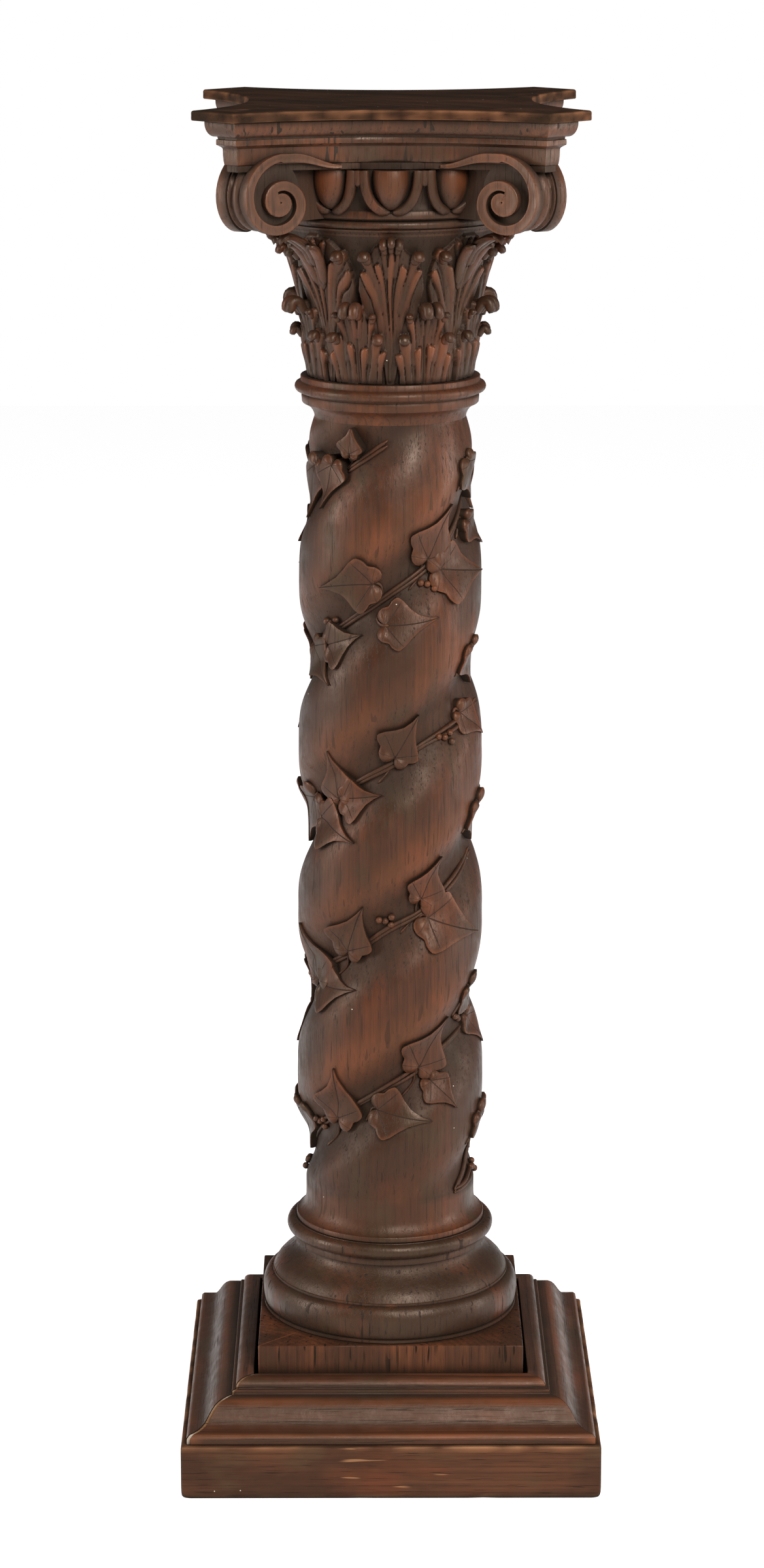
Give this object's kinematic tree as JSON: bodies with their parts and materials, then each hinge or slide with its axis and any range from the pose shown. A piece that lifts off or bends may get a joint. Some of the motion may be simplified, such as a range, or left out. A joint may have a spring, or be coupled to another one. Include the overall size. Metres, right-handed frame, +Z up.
{
  "type": "carved oak pedestal",
  "caption": "Tall carved oak pedestal: twisted shaft wound with ivy, composite capital with corner volutes, hollow-sided moulded top, turned foot and square stepped base.",
  "frame": {"origin": "middle of the underside of the square base block", "axes": "+Z up along the column, -Y out of the front face, +X to the right seen from the front"},
  "size_m": [0.3372, 0.3372, 1.1],
  "materials": {
    "board_oak": "waxed, almost black on top, rubbed to tan along its edges",
    "abacus_oak": "satin wax over dark red-brown stain",
    "capital_oak": "satin wax, near black in the hollows and red-brown on the raised carving",
    "shaft_oak": "satin wax over red-brown stain, dark open pores along the grain",
    "foot_oak": "satin wax over dark brown stain",
    "base_oak": "satin wax, rubbed to orange-brown along the arrises"
  },
  "bodies": {
    "root": {"top_board": "board_oak", "abacus": "abacus_oak", "capital": "capital_oak", "twisted_shaft": "shaft_oak", "turned_foot": "foot_oak", "square_plinth": "base_oak", "moulding_front": "base_oak", "moulding_right": "base_oak", "moulding_back": "base_oak", "moulding_left": "base_oak", "base_block": "base_oak"}
  },
  "joints": []
}
